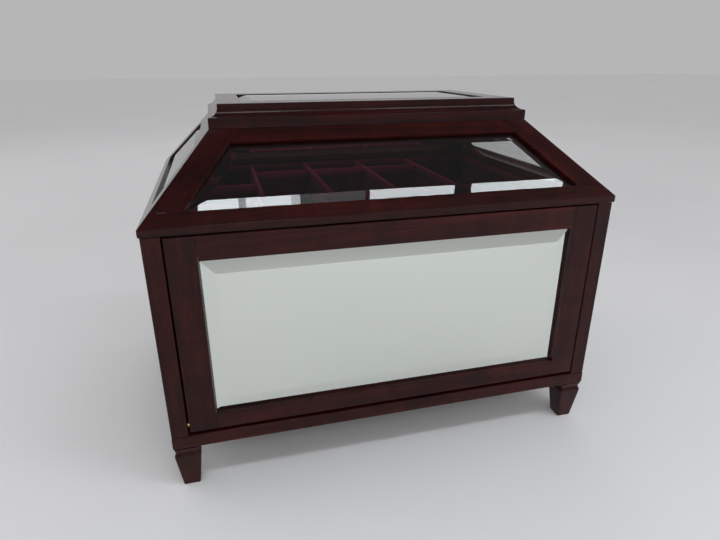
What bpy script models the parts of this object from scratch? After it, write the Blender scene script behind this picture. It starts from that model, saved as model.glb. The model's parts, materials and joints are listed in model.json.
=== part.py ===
"""Jewelry box with a hipped glass lid and a mirrored drop front.

Frame: +Z up, +X to the right of the front, +Y to the back.  The origin is the
middle of the box's outline on the surface it stands on.  Sizes are in metres.

Each wooden member, pane and fitting is its own closed solid.  The lid's members
hang from an empty on the hinge axis, and the drop front's from an empty on the
axis of its two pivot pins.
"""
from math import acos, asin, atan2, cos, pi, radians, sin, tan

import bmesh
import bpy
from mathutils import Vector

MM = 0.001

# ---------------------------------------------------------------- case
WIDTH = 400 * MM              # over the corner posts
DEPTH = 302 * MM              # over the corner posts
CASE_HEIGHT = 176.9 * MM      # posts, from the plinth to their tops
POST = 14.3 * MM              # width of a corner post, and depth of the back ones
PANEL_RECESS = 1.5 * MM       # side and back panels sit this far inside the posts
POST_EDGE = 1.2 * MM          # rounding of a post's outer edges
FLOOR_THICKNESS = 6 * MM

# ---------------------------------------------------------------- plinth and feet
PLINTH_HEIGHT = 12 * MM
PLINTH_WIDTH = 25 * MM        # of each rail, seen from above
PLINTH_PROUD = 0.1 * MM       # past the posts
PLINTH_EDGE = 1.2 * MM
FOOT_HEIGHT = 41.5 * MM
FOOT_TOP = 22.4 * MM          # side of the square shoulder
FOOT_BOTTOM = 14.3 * MM
FOOT_INSET = 0.1 * MM         # shoulder inside the plinth's outer face
NECK_DEPTH = 1.8 * MM         # how far the groove round the foot cuts in
NECK_ABOVE = 4.6 * MM         # height of the groove's upper slope
NECK_BELOW = 2.9 * MM         # height of its lower slope, down to the shoulder
FOOT_EDGE = 1.2 * MM

# ---------------------------------------------------------------- drop front
DOOR_THICKNESS = 12.6 * MM
DOOR_SIDE_GAP = 1.5 * MM
DOOR_BOTTOM_GAP = 0.9 * MM
DOOR_TOP_GAP = 0.8 * MM
STILE = 22.7 * MM
TOP_RAIL = 20.4 * MM
BOTTOM_RAIL = 18.1 * MM
DOOR_HEEL = 0.7 * MM          # bottom corners reach this far past half the thickness
DOOR_EDGE = 0.8 * MM
MIRROR_DROP = 2 * MM          # mirror's flat face behind the face of the door
MIRROR_THICKNESS = 4 * MM
MIRROR_IN_REBATE = 3 * MM
MIRROR_BEVEL = 15 * MM
MIRROR_EDGE = 1.8 * MM        # glass left at the thin edge of the bevel
BACKING_THICKNESS = 5 * MM
PIN_RADIUS = 2 * MM
PIN_IN_POST = 8 * MM
PIN_IN_STILE = 9 * MM

# ---------------------------------------------------------------- ball catch
CATCH_RADIUS = 3.5 * MM
CATCH_LENGTH = 8 * MM         # of the barrel, inside the door
BALL_RADIUS = 2.4 * MM
BALL_SHOWS = 1.8 * MM         # how far the ball stands out of the barrel
CATCH_BELOW_TOP = 9 * MM      # from the top of the case to the catch's middle
DOOR_TO_TRAY = 1.2 * MM       # behind the closed door
TRAY_IN_POSTS = 0.5 * MM      # how far the front posts reach behind the tray's front

# ---------------------------------------------------------------- tray
TRAY_DEPTH = 44 * MM          # from the top of the case to the tray floor
TRAY_FLOOR = 6 * MM
TRAY_WALL = 8 * MM            # front wall behind the drop front
TRAY_TOP_DROP = 2.5 * MM      # dividers stop this far below the top of the case
LINING = 1.6 * MM             # velvet over card on the walls
PAD = 3 * MM                  # padded velvet on the floors
DIVIDER = 4 * MM
INNER_COLUMN = 67 * MM        # pitch of the three middle columns
LONG_CROSS_FROM_BACK = 52.7 * MM    # cross dividers, from the inside of the back
SHORT_CROSS_FROM_BACK = 115.7 * MM

# ---------------------------------------------------------------- lid
RIM_OVERHANG = 1.0 * MM       # past the posts
RIM_HEIGHT = 6 * MM
RIM_EDGE = 1.1 * MM
ROOF_RISE = 60.8 * MM
FRONT_RUN = 70.4 * MM         # of the front and back slopes, seen from above
END_RUN = 56.6 * MM           # of the end slopes
BASE_RAIL = 9 * MM            # height of wood on a slope below the glass
TOP_RAIL_RISE = 9.4 * MM      # height of wood on a slope above the glass
HIP = 20.9 * MM               # width of wood on a slope beside the hip
ROOF_THICKNESS = 13 * MM      # of the wood, square to a slope
HIP_EDGE = 0.8 * MM
BAND = 8.4 * MM               # vertical band of the cornice
COVE_RUN = 8.2 * MM
COVE_RISE = 7.7 * MM
CAP_HEIGHT = 2.8 * MM
CAP_BORDER = 21 * MM          # flat wood round the top pane
CORNICE_EDGE = 0.8 * MM
COVE_STEPS = 7

# ---------------------------------------------------------------- glass
GLASS = 4 * MM
GLASS_BEVEL = 12.7 * MM
GLASS_EDGE = 1.8 * MM
GLASS_DROP = 1.3 * MM         # flat faces of the sloping panes below the wood
TOP_GLASS_DROP = 0.4 * MM     # flat face of the top pane below the wood
GLASS_IN_GROOVE = 2.7 * MM

# ---------------------------------------------------------------- hinges
HINGE_FROM_MIDDLE = 125 * MM
HINGE_LENGTH = 36 * MM
KNUCKLE_RADIUS = 2.6 * MM
HINGE_PIN_RADIUS = 1.3 * MM
LEAF_THICKNESS = 1.1 * MM
LEAF_WIDTH = 10 * MM          # from the lid's back face into the case

# ---------------------------------------------------------------- clearances
FIT = 0.3 * MM                # between pieces that touch
LID_GAP = 0.6 * MM            # between the closed lid and the case
ROUND_STEPS = 3               # flats on a rounded edge
CIRCLE_STEPS = 24
BALL_STEPS = 4

# ---------------------------------------------------------------- derived planes
SIDE_X = WIDTH / 2
HINGE_REACH = 2 * KNUCKLE_RADIUS + FIT
FRONT_Y = -(DEPTH + HINGE_REACH) / 2
BACK_Y = FRONT_Y + DEPTH
MIDDLE_Y = (FRONT_Y + BACK_Y) / 2
PLINTH_Z = FOOT_HEIGHT + FIT
CASE_Z = PLINTH_Z + PLINTH_HEIGHT + FIT
TOP_Z = CASE_Z + CASE_HEIGHT
INNER_X = SIDE_X - POST
INNER_BACK_Y = BACK_Y - POST

DOOR_X = INNER_X - DOOR_SIDE_GAP
DOOR_Z = CASE_Z + DOOR_BOTTOM_GAP
DOOR_TOP_Z = TOP_Z - DOOR_TOP_GAP
DOOR_BACK_Y = FRONT_Y + DOOR_THICKNESS
PIVOT_Y = FRONT_Y + DOOR_THICKNESS / 2
PIVOT_Z = DOOR_Z + DOOR_THICKNESS / 2
SIGHT_X = DOOR_X - STILE                       # edges of the mirror's opening
SIGHT_Z = DOOR_Z + BOTTOM_RAIL
SIGHT_TOP_Z = DOOR_TOP_Z - TOP_RAIL

LINING_FRONT_Y = DOOR_BACK_Y + DOOR_TO_TRAY    # first plane behind the drop front
FRONT_POST_BACK_Y = LINING_FRONT_Y + TRAY_IN_POSTS
TRAY_FLOOR_Z = TOP_Z - TRAY_DEPTH
TRAY_WALL_BACK_Y = LINING_FRONT_Y + TRAY_WALL
FLOOR_TOP_Z = CASE_Z + FLOOR_THICKNESS

LID_X = SIDE_X + RIM_OVERHANG
LID_FRONT_Y = FRONT_Y - RIM_OVERHANG
LID_BACK_Y = BACK_Y + RIM_OVERHANG
LID_Z = TOP_Z + LID_GAP
RIM_Z = LID_Z + RIM_HEIGHT
GLASS_LOW_Z = RIM_Z + BASE_RAIL
SHOULDER_Z = RIM_Z + ROOF_RISE
GLASS_HIGH_Z = SHOULDER_Z - TOP_RAIL_RISE
BAND_Z = SHOULDER_Z + FIT + BAND
CAP_Z = BAND_Z + COVE_RISE + CAP_HEIGHT
CAP_INSET = COVE_RUN                           # cap's edge inside the band
HINGE_Y = LID_BACK_Y + FIT + KNUCKLE_RADIUS
HINGE_Z = TOP_Z + LID_GAP / 2

GROOVE_DEPTH = GLASS_IN_GROOVE + FIT
MIRROR_FALL = (MIRROR_THICKNESS - MIRROR_EDGE) * (1 - MIRROR_IN_REBATE / MIRROR_BEVEL)
DOOR_LIP = MIRROR_DROP + MIRROR_FALL - FIT     # wood in front of the mirror

UP = Vector((0, 0, 1))


# ---------------------------------------------------------------- materials
def material(name, colour, roughness, metallic=0.0):
    found = bpy.data.materials.new(name)
    found.use_nodes = True
    shader = found.node_tree.nodes["Principled BSDF"]
    shader.inputs["Base Color"].default_value = (*colour, 1.0)
    shader.inputs["Roughness"].default_value = roughness
    shader.inputs["Metallic"].default_value = metallic
    found.diffuse_color = (*colour, 1.0)
    return found


def make_materials():
    return {
        "mahogany": material("mahogany", (0.045, 0.010, 0.009), 0.25),
        "clear_glass": material("clear_glass", (0.80, 0.88, 0.86), 0.03),
        "silvered_glass": material("silvered_glass", (0.86, 0.90, 0.88), 0.02, 1.0),
        "brass": material("brass", (0.78, 0.55, 0.22), 0.28, 1.0),
        "velvet": material("velvet", (0.16, 0.012, 0.030), 0.95),
        "board": material("board", (0.10, 0.055, 0.035), 0.8),
    }


# ---------------------------------------------------------------- mesh helpers
def rounded(corners):
    """Outline with each (point, radius) corner replaced by a short arc."""
    outline = []
    count = len(corners)
    for index, (point, radius) in enumerate(corners):
        if radius <= 0:
            outline.append(point.copy())
            continue
        before = (corners[index - 1][0] - point).normalized()
        after = (corners[(index + 1) % count][0] - point).normalized()
        half = before.angle(after) / 2
        centre = point + (before + after).normalized() * (radius / sin(half))
        start = (point + before * (radius / tan(half)) - centre).normalized()
        finish = (point + after * (radius / tan(half)) - centre).normalized()
        for step in range(ROUND_STEPS + 1):
            outline.append(centre + start.slerp(finish, step / ROUND_STEPS) * radius)
    return outline


def flat(points, place):
    """Corners (a, b) or (a, b, radius) put in space by place(a, b)."""
    return [(place(p[0], p[1]), p[2] if len(p) > 2 else 0) for p in points]


def on_plane(point, direction, plane):
    through, normal = plane
    return point + direction * ((through - point).dot(normal) / direction.dot(normal))


def sweep(outline, direction, start, finish):
    """Bar with the given outline, cut off by two planes (point, normal)."""
    mesh = bmesh.new()
    ends = []
    for plane in (start, finish):
        ends.append([mesh.verts.new(on_plane(p, direction, plane)) for p in outline])
    count = len(outline)
    for index in range(count):
        following = (index + 1) % count
        mesh.faces.new((ends[0][index], ends[0][following], ends[1][following], ends[1][index]))
    mesh.faces.new(ends[0])
    mesh.faces.new(ends[1])
    bmesh.ops.recalc_face_normals(mesh, faces=mesh.faces)
    return mesh


def along_x(corners, low, high):
    """Bar along X from an outline of (y, z) corners."""
    outline = rounded(flat(corners, lambda y, z: Vector((0, y, z))))
    axis = Vector((1, 0, 0))
    return sweep(outline, axis, (axis * low, axis), (axis * high, axis))


def along_y(corners, low, high):
    """Bar along Y from an outline of (x, z) corners."""
    outline = rounded(flat(corners, lambda x, z: Vector((x, 0, z))))
    axis = Vector((0, 1, 0))
    return sweep(outline, axis, (axis * low, axis), (axis * high, axis))


def along_z(corners, low, high):
    """Bar along Z from an outline of (x, y) corners."""
    outline = rounded(flat(corners, lambda x, y: Vector((x, y, 0))))
    return sweep(outline, UP, (UP * low, UP), (UP * high, UP))


def box(low, high):
    x0, y0, z0 = low
    x1, y1, z1 = high
    return along_z([(x0, y0), (x1, y0), (x1, y1), (x0, y1)], z0, z1)


def loft(loops, ring=False):
    """Skin through loops of points: closed by caps, or on itself in a ring."""
    mesh = bmesh.new()
    rows = [[mesh.verts.new(p) for p in loop] for loop in loops]
    count = len(loops[0])
    pairs = list(zip(rows, rows[1:]))
    if ring:
        pairs.append((rows[-1], rows[0]))
    for lower, upper in pairs:
        for index in range(count):
            following = (index + 1) % count
            mesh.faces.new((lower[index], lower[following], upper[following], upper[index]))
    if not ring:
        mesh.faces.new(rows[0])
        mesh.faces.new(rows[-1])
    bmesh.ops.recalc_face_normals(mesh, faces=mesh.faces)
    return mesh


def rod(centre, axis, radius, low, high, steps=CIRCLE_STEPS):
    """Cylinder about the axis, from low to high along it."""
    across = axis.orthogonal().normalized()
    other = axis.cross(across)
    turns = [2 * pi * step / steps for step in range(steps)]
    circle = [centre + (across * cos(t) + other * sin(t)) * radius for t in turns]
    return sweep(circle, axis, (centre + axis * low, axis), (centre + axis * high, axis))


def grown(outline, distance):
    """Convex outline, counter-clockwise, with every side moved out."""
    lines = []
    count = len(outline)
    for index in range(count):
        start = outline[index]
        edge = outline[(index + 1) % count] - start
        outward = Vector((edge.y, -edge.x)).normalized()
        lines.append((start + outward * distance, edge))
    moved = []
    for index in range(count):
        point, edge = lines[index - 1]
        other, other_edge = lines[index]
        cross = edge.x * other_edge.y - edge.y * other_edge.x
        gap = other - point
        share = (gap.x * other_edge.y - gap.y * other_edge.x) / cross
        moved.append(point + edge * share)
    return moved


# ---------------------------------------------------------------- objects
def add(name, mesh, finish, parent=None, smooth=False):
    """Object with its origin at its own middle, or on its parent's axis."""
    low = Vector([min(v.co[i] for v in mesh.verts) for i in range(3)])
    high = Vector([max(v.co[i] for v in mesh.verts) for i in range(3)])
    origin = (low + high) / 2
    bmesh.ops.translate(mesh, verts=mesh.verts, vec=-origin)
    data = bpy.data.meshes.new(name)
    mesh.to_mesh(data)
    mesh.free()
    data.materials.append(finish)
    if smooth:
        data.shade_smooth()
        data.set_sharp_from_angle(angle=radians(30))
    made = bpy.data.objects.new(name, data)
    bpy.context.scene.collection.objects.link(made)
    made.location = origin
    if parent is not None:
        made.parent = parent
        made.location = origin - parent.location
    return made


def axis_empty(name, place):
    made = bpy.data.objects.new(name, None)
    made.location = place
    bpy.context.scene.collection.objects.link(made)
    return made


def boolean(target, mesh, name, operation):
    """Leave a Boolean on the target, with its other solid as a hidden guide."""
    data = bpy.data.meshes.new(name)
    mesh.to_mesh(data)
    mesh.free()
    guide = bpy.data.objects.new(name, data)
    bpy.context.scene.collection.objects.link(guide)
    guide.hide_render = True
    guide.display_type = "WIRE"
    step = target.modifiers.new(name, "BOOLEAN")
    step.operation = operation
    step.solver = "EXACT"
    step.object = guide
    return guide


def share_cut(target, guide):
    step = target.modifiers.new(guide.name, "BOOLEAN")
    step.operation = "DIFFERENCE"
    step.solver = "EXACT"
    step.object = guide


def soften(made, width, segments=2):
    step = made.modifiers.new("eased_edges", "BEVEL")
    step.width = width
    step.segments = segments
    step.limit_method = "ANGLE"
    step.angle_limit = radians(30)


# ---------------------------------------------------------------- case
def make_feet(wood):
    corner_x = SIDE_X + PLINTH_PROUD - FOOT_INSET - FOOT_TOP / 2
    neck_z = FOOT_HEIGHT - NECK_ABOVE
    levels = [(FOOT_BOTTOM, 0), (FOOT_TOP, neck_z - NECK_BELOW),
              (FOOT_TOP - 2 * NECK_DEPTH, neck_z), (FOOT_TOP, FOOT_HEIGHT)]
    for name, sx, sy in CORNERS:
        y = MIDDLE_Y + sy * (DEPTH / 2 + PLINTH_PROUD - FOOT_INSET - FOOT_TOP / 2)
        centre = Vector((sx * corner_x, y, 0))
        loops = []
        for side, z in levels:
            half = side / 2
            square = [(-half, -half), (half, -half), (half, half), (-half, half)]
            loops.append([centre + Vector((a, b, z)) for a, b in square])
        soften(add("foot_" + name, loft(loops), wood), FOOT_EDGE)


def make_posts(wood):
    posts = {}
    for name, sx, sy in CORNERS:
        outer_x = sx * SIDE_X
        inner_x = sx * INNER_X
        outer_y = MIDDLE_Y + sy * DEPTH / 2
        inner_y = FRONT_POST_BACK_Y if sy < 0 else INNER_BACK_Y
        square = [(outer_x, outer_y, POST_EDGE), (inner_x, outer_y, POST_EDGE),
                  (inner_x, inner_y), (outer_x, inner_y, POST_EDGE)]
        posts[name] = add("post_" + name, along_z(square, CASE_Z, TOP_Z), wood)
    return posts


def plinth_sides():
    """Name, outer corner half-sizes, inward and along directions of each rail."""
    half_x = SIDE_X + PLINTH_PROUD
    half_y = DEPTH / 2 + PLINTH_PROUD
    return rectangle_sides(half_x, half_y)


def rectangle_sides(half_x, half_y):
    middle = Vector((0, MIDDLE_Y, 0))
    x = Vector((1, 0, 0))
    y = Vector((0, 1, 0))
    return {
        "front": (middle - y * half_y, y, x, half_x),
        "back": (middle + y * half_y, -y, x, half_x),
        "left": (middle - x * half_x, x, y, half_y),
        "right": (middle + x * half_x, -x, y, half_y),
    }


def mitred(side, corners, other_share, own_share):
    """Bar along one side of a rectangle, mitred at both ends.

    corners are (inset, z) points.  The mitres run inward by other_share along the
    bar for each own_share across it, which is 45 degrees when they are equal.
    """
    middle, inward, along, half = side
    outline = rounded(flat(corners, lambda inset, z: middle + inward * inset + UP * z))
    planes = []
    for sign in (-1, 1):
        corner = middle + along * (half * sign)
        run = inward * own_share - along * (sign * other_share)
        normal = run.cross(UP).normalized()
        if normal.dot(along) * sign > 0:
            normal = -normal
        planes.append((corner + normal * (FIT / 2), normal))
    return sweep(outline, along, planes[0], planes[1])


def make_plinth(wood):
    top = PLINTH_Z + PLINTH_HEIGHT
    corners = [(0, PLINTH_Z, PLINTH_EDGE), (PLINTH_WIDTH, PLINTH_Z),
               (PLINTH_WIDTH, top), (0, top, PLINTH_EDGE)]
    for name, side in plinth_sides().items():
        add("plinth_" + name, mitred(side, corners, 1, 1), wood)


def make_panels(wood, board):
    inner_front = FRONT_POST_BACK_Y + FIT
    inner_back = INNER_BACK_Y - FIT
    outer_x = SIDE_X - PANEL_RECESS
    for name, sign in (("left", -1), ("right", 1)):
        x0, x1 = sorted((sign * outer_x, sign * INNER_X))
        add("side_panel_" + name, box((x0, inner_front, CASE_Z), (x1, inner_back, TOP_Z)), wood)
    back = add("back_panel", box((-INNER_X + FIT, INNER_BACK_Y, CASE_Z),
                                 (INNER_X - FIT, BACK_Y - PANEL_RECESS, TOP_Z)), wood)
    for name, sign in (("left", -1), ("right", 1)):
        cut = leaf_mortise(sign, TOP_Z - LEAF_THICKNESS - FIT, TOP_Z + FIT)
        boolean(back, cut, "case_mortise_" + name, "DIFFERENCE")
    add("floor_board", box((-INNER_X + FIT, LINING_FRONT_Y, CASE_Z),
                           (INNER_X - FIT, INNER_BACK_Y - FIT, FLOOR_TOP_Z)), board)


# ---------------------------------------------------------------- tray
def make_tray(wood, velvet):
    side = INNER_X - FIT
    back = INNER_BACK_Y - FIT
    floor_low = TRAY_FLOOR_Z - TRAY_FLOOR
    add("tray_floor", box((-side, LINING_FRONT_Y, floor_low), (side, back, TRAY_FLOOR_Z)), wood)
    wall = add("tray_front_wall", box((-side, LINING_FRONT_Y, TRAY_FLOOR_Z + FIT),
                                      (side, TRAY_WALL_BACK_Y, TOP_Z)), wood)
    catch = Vector((0, 0, TOP_Z - CATCH_BELOW_TOP))
    dimple = rod(catch, Vector((0, 1, 0)), BALL_RADIUS + FIT, LINING_FRONT_Y - FIT,
                 LINING_FRONT_Y + BALL_SHOWS)
    boolean(wall, dimple, "catch_dimple", "DIFFERENCE")
    make_tray_lining(velvet)
    make_dividers(velvet)


def tub(low, high, inner_low, inner_high):
    """Box with a hollow that is open at the top."""
    def ring(lo, hi, z):
        return [Vector((lo[0], lo[1], z)), Vector((hi[0], lo[1], z)),
                Vector((hi[0], hi[1], z)), Vector((lo[0], hi[1], z))]
    loops = [ring(low, high, low[2]), ring(low, high, high[2]),
             ring(inner_low, inner_high, high[2]), ring(inner_low, inner_high, inner_low[2])]
    return loft(loops)


def tray_inside():
    """Low and high corners of the space inside the tray's lining."""
    side = INNER_X - 2 * FIT - LINING
    low = Vector((-side, TRAY_WALL_BACK_Y + FIT + LINING, TRAY_FLOOR_Z + FIT + PAD))
    high = Vector((side, INNER_BACK_Y - 2 * FIT - LINING, TOP_Z - TRAY_TOP_DROP))
    return low, high


def make_tray_lining(velvet):
    low, high = tray_inside()
    skin = Vector((LINING, LINING, 0))
    outer_low = low - skin - UP * PAD
    outer_high = high + skin
    add("tray_lining", tub(outer_low, outer_high, low, high), velvet)


def make_dividers(velvet):
    low, high = tray_inside()
    bottom = low.z + FIT
    top = high.z
    half_lap = (bottom + top) / 2
    columns = [INNER_COLUMN * step for step in (-1.5, -0.5, 0.5, 1.5)]
    long_y = INNER_BACK_Y - LONG_CROSS_FROM_BACK
    short_y = INNER_BACK_Y - SHORT_CROSS_FROM_BACK
    slot = DIVIDER / 2 + FIT
    for number, x in enumerate(columns, 1):
        corners = [(low.y + FIT, bottom), (high.y - FIT, bottom), (high.y - FIT, top)]
        if number in (2, 3):
            corners += [(long_y + slot, top), (long_y + slot, half_lap),
                        (long_y - slot, half_lap), (long_y - slot, top)]
        corners.append((low.y + FIT, top))
        add("tray_divider_%d" % number,
            along_x(corners, x - DIVIDER / 2, x + DIVIDER / 2), velvet)
    start = columns[0] + slot
    finish = columns[3] - slot
    corners = [(start, bottom)]
    for x in columns[1:3]:
        corners += [(x - slot, bottom), (x - slot, half_lap + FIT),
                    (x + slot, half_lap + FIT), (x + slot, bottom)]
    corners += [(finish, bottom), (finish, top), (start, top)]
    add("tray_cross_divider_long",
        along_y(corners, long_y - DIVIDER / 2, long_y + DIVIDER / 2), velvet)
    start = low.x + FIT
    finish = columns[0] - slot
    add("tray_cross_divider_short",
        box((start, short_y - DIVIDER / 2, bottom), (finish, short_y + DIVIDER / 2, top)), velvet)


def make_lower_lining(velvet):
    """Floor, back and two sides of velvet over card, open at the front and top."""
    outer_x = INNER_X - 2 * FIT
    inner_x = outer_x - LINING
    outer_y = INNER_BACK_Y - 2 * FIT
    inner_y = outer_y - LINING
    low = FLOOR_TOP_Z + FIT
    high = TRAY_FLOOR_Z - TRAY_FLOOR - FIT
    made = add("lower_lining", box((-outer_x, LINING_FRONT_Y, low), (outer_x, outer_y, high)), velvet)
    hollow = box((-inner_x, LINING_FRONT_Y - PAD, low + PAD), (inner_x, inner_y, high + PAD))
    boolean(made, hollow, "lower_hollow", "DIFFERENCE")


# ---------------------------------------------------------------- drop front
def door_heel(steps=4):
    """Bottom of the door from its front to its back, with corners round about the pivot."""
    half = DOOR_THICKNESS / 2
    radius = half + DOOR_HEEL
    first = acos(half / radius)
    last = asin(half / radius)
    turns = [first + (last - first) * step / steps for step in range(steps + 1)]
    curve = [(-radius * cos(t), -radius * sin(t)) for t in turns]
    curve += [(-y, z) for y, z in reversed(curve)]
    return [(PIVOT_Y + y, PIVOT_Z + z) for y, z in curve]


def make_door(wood, mirror, board, brass, posts, axis):
    front = FRONT_Y
    back = DOOR_BACK_Y
    x = Vector((1, 0, 0))
    pivot = Vector((0, PIVOT_Y, PIVOT_Z))

    pocket_x = SIGHT_X + MIRROR_IN_REBATE + FIT
    pocket_low = SIGHT_Z - MIRROR_IN_REBATE - FIT
    pocket_high = SIGHT_TOP_Z + MIRROR_IN_REBATE + FIT
    pocket = box((-pocket_x, front + DOOR_LIP, pocket_low), (pocket_x, back + FIT, pocket_high))

    full = door_heel() + [(back, DOOR_TOP_Z, DOOR_EDGE), (front, DOOR_TOP_Z, DOOR_EDGE)]
    members = []
    for name, sign in (("left", -1), ("right", 1)):
        x0, x1 = sorted((sign * SIGHT_X, sign * DOOR_X))
        stile = add("door_stile_" + name, along_x(full, x0, x1), wood, axis)
        members.append(stile)
        hole = rod(pivot, x, PIN_RADIUS + FIT, sign * DOOR_X - (PIN_IN_STILE + FIT),
                   sign * DOOR_X + (PIN_IN_STILE + FIT))
        boolean(stile, hole, "stile_pin_hole_" + name, "DIFFERENCE")
        face = sign * INNER_X
        hole = rod(pivot, x, PIN_RADIUS + FIT, face - (PIN_IN_POST + FIT), face + (PIN_IN_POST + FIT))
        boolean(posts["front_" + name], hole, "post_pin_hole_" + name, "DIFFERENCE")
        ends = sorted((sign * (INNER_X + PIN_IN_POST), sign * (DOOR_X - PIN_IN_STILE)))
        add("pivot_pin_" + name, rod(pivot, x, PIN_RADIUS, ends[0], ends[1]), brass, smooth=True)

    rail_x = SIGHT_X - FIT
    lower = door_heel() + [(back, SIGHT_Z), (front, SIGHT_Z, DOOR_EDGE)]
    upper = [(front, SIGHT_TOP_Z, DOOR_EDGE), (back, SIGHT_TOP_Z),
             (back, DOOR_TOP_Z, DOOR_EDGE), (front, DOOR_TOP_Z, DOOR_EDGE)]
    top_rail = add("door_rail_top", along_x(upper, -rail_x, rail_x), wood, axis)
    members.append(top_rail)
    members.append(add("door_rail_bottom", along_x(lower, -rail_x, rail_x), wood, axis))
    guide = boolean(members[0], pocket, "mirror_pocket", "DIFFERENCE")
    for member in members[1:]:
        share_cut(member, guide)

    make_mirror(mirror, axis)
    edge_x = pocket_x - FIT
    backing_y = front + MIRROR_DROP + MIRROR_THICKNESS + FIT
    add("mirror_backing", box((-edge_x, backing_y, pocket_low + FIT),
                              (edge_x, backing_y + BACKING_THICKNESS, pocket_high - FIT)),
        board, axis)

    catch = Vector((0, 0, TOP_Z - CATCH_BELOW_TOP))
    socket = rod(catch, Vector((0, 1, 0)), CATCH_RADIUS + FIT, back - CATCH_LENGTH - FIT, back + FIT)
    boolean(top_rail, socket, "catch_socket", "DIFFERENCE")
    add("ball_catch", turned(catch, catch_profile(back)), brass, axis, smooth=True)


def catch_profile(face):
    """(radius, y) points of the barrel and the ball that stands out of its end."""
    points = [(CATCH_RADIUS, face - CATCH_LENGTH), (CATCH_RADIUS, face)]
    middle = BALL_SHOWS - BALL_RADIUS
    first = atan2(-middle, (BALL_RADIUS ** 2 - middle ** 2) ** 0.5)
    for step in range(BALL_STEPS + 1):
        turn = first + (radians(80) - first) * step / BALL_STEPS
        points.append((BALL_RADIUS * cos(turn), face + middle + BALL_RADIUS * sin(turn)))
    return points


def turned(centre, profile, steps=16):
    """Solid turned about a line along Y through centre, from (radius, y) points."""
    loops = []
    for radius, y in profile:
        turns = [2 * pi * step / steps for step in range(steps)]
        loops.append([Vector((centre.x + radius * cos(t), y, centre.z + radius * sin(t)))
                      for t in turns])
    return loft(loops)


def bevelled_pane(outline, bevel, thickness, edge, place):
    """Pane with a ground bevel on its outer face.

    outline holds counter-clockwise (a, b) corners and place(a, b, depth) puts a
    point in space, with depth measured from the flat outer face.
    """
    flat_face = grown(outline, -bevel)
    loops = [[place(p.x, p.y, thickness) for p in outline],
             [place(p.x, p.y, thickness - edge) for p in outline],
             [place(p.x, p.y, 0) for p in flat_face]]
    return loft(loops)


def make_mirror(mirror, axis):
    x = SIGHT_X + MIRROR_IN_REBATE
    low = SIGHT_Z - MIRROR_IN_REBATE
    high = SIGHT_TOP_Z + MIRROR_IN_REBATE
    outline = [Vector((-x, low)), Vector((x, low)), Vector((x, high)), Vector((-x, high))]
    face = FRONT_Y + MIRROR_DROP
    pane = bevelled_pane(outline, MIRROR_BEVEL, MIRROR_THICKNESS, MIRROR_EDGE,
                         lambda a, b, depth: Vector((a, face + depth, b)))
    add("mirror", pane, mirror, axis)


# ---------------------------------------------------------------- lid
def groove(drop):
    """Depths of a groove's two cheeks below the wood, for a pane's face at drop."""
    fall = (GLASS - GLASS_EDGE) * (1 - GLASS_IN_GROOVE / GLASS_BEVEL)
    return drop + fall - FIT, drop + GLASS + FIT


def lid_sides():
    half_x = LID_X
    half_y = (LID_BACK_Y - LID_FRONT_Y) / 2
    return rectangle_sides(half_x, half_y)


def runs(name):
    """Run of a side's own slope, and of the slopes at its ends."""
    if name in ("front", "back"):
        return FRONT_RUN, END_RUN
    return END_RUN, FRONT_RUN


def slope_length(run):
    """Length of a slope from the rim to the cornice."""
    return Vector((run, ROOF_RISE)).length


def on_slope(run, z, past, depth):
    """(inset, z) of a point square below a slope.

    The point on the slope is past beyond height z, measured up the slope, and
    the result lies depth below it.
    """
    pitch = atan2(ROOF_RISE, run)
    along = (z - RIM_Z) / sin(pitch) + past
    return along * cos(pitch) + depth * sin(pitch), RIM_Z + along * sin(pitch) - depth * cos(pitch)


def make_lid_base(wood, axis):
    near, far = groove(GLASS_DROP)
    rails = {}
    for name, side in lid_sides().items():
        run, end_run = runs(name)
        inner, shelf_z = on_slope(run, GLASS_LOW_Z, 0, ROOF_THICKNESS)
        corners = [(0, LID_Z, RIM_EDGE), (0, RIM_Z, RIM_EDGE), on_slope(run, GLASS_LOW_Z, 0, 0)]
        for past, depth in ((0, near), (-GROOVE_DEPTH, near), (-GROOVE_DEPTH, far), (0, far)):
            corners.append(on_slope(run, GLASS_LOW_Z, past, depth))
        corners += [(inner, shelf_z), (inner, LID_Z)]
        rails[name] = add("lid_base_" + name, mitred(side, corners, end_run, run), wood, axis)
    for name, sign in (("left", -1), ("right", 1)):
        cut = leaf_mortise(sign, LID_Z - FIT, LID_Z + LEAF_THICKNESS + FIT)
        boolean(rails["back"], cut, "lid_mortise_" + name, "DIFFERENCE")


def make_top_rails(wood, axis):
    """Rails above the glass, between the hips and under the cornice."""
    near, far = groove(GLASS_DROP)
    for name, side in lid_sides().items():
        middle, inward, along, half = side
        run, end_run = runs(name)
        length = slope_length(run)
        up_slope = (inward * run + UP * ROOF_RISE) / length
        past_shoulder = ROOF_THICKNESS * run / ROOF_RISE
        corners = [on_slope(run, GLASS_HIGH_Z, 0, 0), on_slope(run, SHOULDER_Z, 0, 0),
                   on_slope(run, SHOULDER_Z, past_shoulder, ROOF_THICKNESS)]
        for past, depth in ((0, ROOF_THICKNESS), (0, far), (GROOVE_DEPTH, far),
                            (GROOVE_DEPTH, near), (0, near)):
            corners.append(on_slope(run, GLASS_HIGH_Z, past, depth))
        outline = rounded(flat(corners, lambda inset, z: middle + inward * inset + UP * z))
        planes = []
        for sign in (-1, 1):
            lean = -along * (sign * end_run / length)
            edge = (up_slope + lean).normalized()
            normal = along * -sign
            normal = (normal - edge * normal.dot(edge)).normalized()
            through = middle + along * (sign * half) + UP * RIM_Z
            planes.append((through + normal * (HIP + FIT), normal))
        add("lid_top_rail_" + name, sweep(outline, along, planes[0], planes[1]), wood, axis)


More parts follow.
